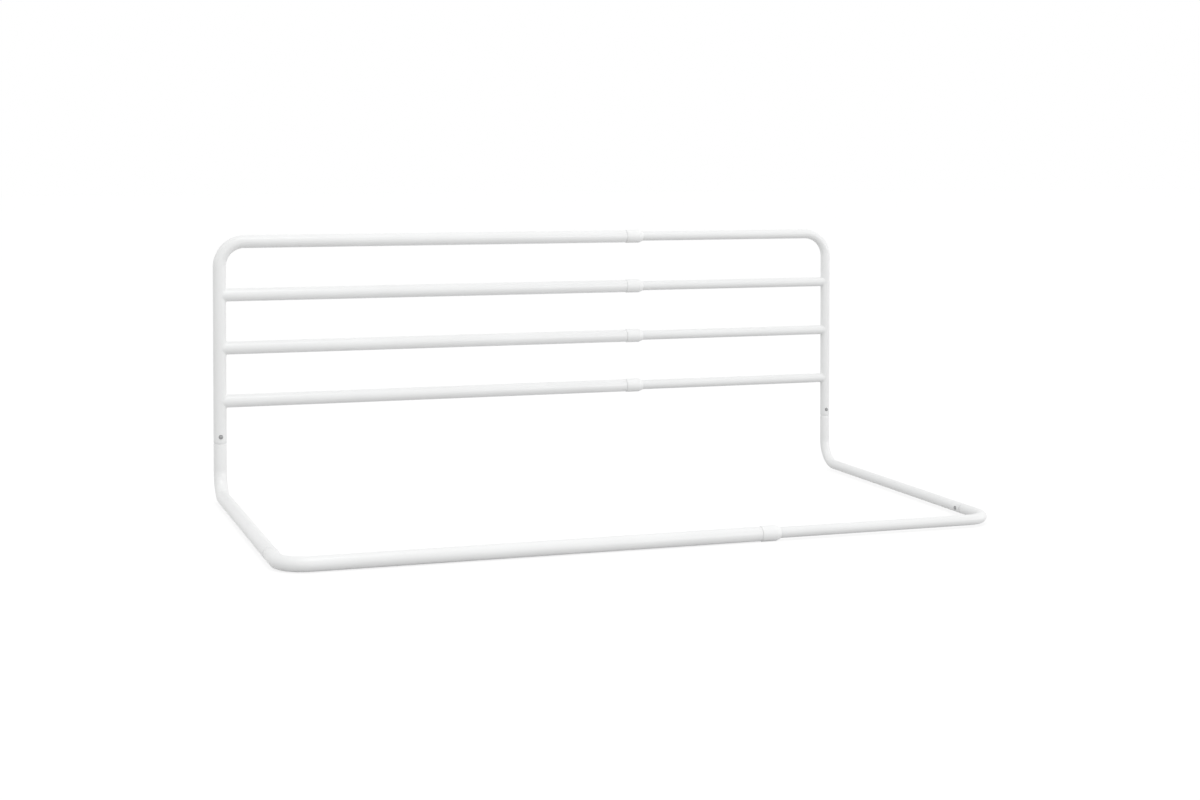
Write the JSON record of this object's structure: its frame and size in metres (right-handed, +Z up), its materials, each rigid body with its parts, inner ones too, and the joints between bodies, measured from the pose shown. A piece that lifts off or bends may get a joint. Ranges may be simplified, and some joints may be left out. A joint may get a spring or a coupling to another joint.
{
  "type": "bed guard rail",
  "caption": "White steel-tube bed guard rail in two telescoping halves: an upright panel with crossbars, and a base frame that lies under the mattress.",
  "frame": {"origin": "middle of the footprint, on the surface that the rail stands on", "axes": "+X along the rail from the wide-tube half to the narrow-tube half, -Y from the upright panel towards the front bar of the base, +Z up"},
  "size_m": [1.302, 0.727, 0.514],
  "materials": {
    "painted_tube": "white powder coat, half gloss",
    "collar_plastic": "white moulded plastic, satin",
    "glide_plastic": "natural moulded plastic, matt",
    "button_steel": "zinc-plated steel, satin",
    "spring_steel": "tempered spring steel"
  },
  "bodies": {
    "left_half": {"left_upper_frame_tube": "painted_tube", "left_upper_crossbar": "painted_tube", "left_middle_crossbar": "painted_tube", "left_lower_crossbar": "painted_tube", "left_base_elbow": "painted_tube", "left_front_tube": "painted_tube", "left_upright_button_spring": "spring_steel", "left_side_button_spring": "spring_steel", "top_rail_collar": "collar_plastic", "upper_crossbar_collar": "collar_plastic", "middle_crossbar_collar": "collar_plastic", "lower_crossbar_collar": "collar_plastic", "front_bar_collar": "collar_plastic"},
    "right_half": {"right_upper_frame_tube": "painted_tube", "right_upper_crossbar": "painted_tube", "right_middle_crossbar": "painted_tube", "right_lower_crossbar": "painted_tube", "right_base_elbow": "painted_tube", "right_front_tube": "painted_tube", "right_upright_button_spring": "spring_steel", "right_side_button_spring": "spring_steel", "top_rail_glide_plug": "glide_plastic", "upper_crossbar_glide_plug": "glide_plastic", "middle_crossbar_glide_plug": "glide_plastic", "lower_crossbar_glide_plug": "glide_plastic", "front_bar_glide_plug": "glide_plastic"},
    "left_upright_button": {"left_upright_button": "button_steel"},
    "left_side_button": {"left_side_button": "button_steel"},
    "right_upright_button": {"right_upright_button": "button_steel"},
    "right_side_button": {"right_side_button": "button_steel"}
  },
  "joints": [
    {"name": "width_slide", "type": "slide", "parent": "left_half", "child": "right_half", "axis": [1, 0, 0], "range_m": [-0.35, 0.1]},
    {"name": "left_upright_button_press", "type": "slide", "parent": "left_half", "child": "left_upright_button", "axis": [0, 1, 0], "range_m": [0, 0.0035], "stiffness_N_per_m": 2000, "deforming": ["left_upright_button_spring"]},
    {"name": "left_side_button_press", "type": "slide", "parent": "left_half", "child": "left_side_button", "axis": [-1, 0, 0], "range_m": [0, 0.0035], "stiffness_N_per_m": 2000, "deforming": ["left_side_button_spring"]},
    {"name": "right_upright_button_press", "type": "slide", "parent": "right_half", "child": "right_upright_button", "axis": [0, 1, 0], "range_m": [0, 0.0035], "stiffness_N_per_m": 2000, "deforming": ["right_upright_button_spring"]},
    {"name": "right_side_button_press", "type": "slide", "parent": "right_half", "child": "right_side_button", "axis": [1, 0, 0], "range_m": [0, 0.0035], "stiffness_N_per_m": 2000, "deforming": ["right_side_button_spring"]}
  ]
}
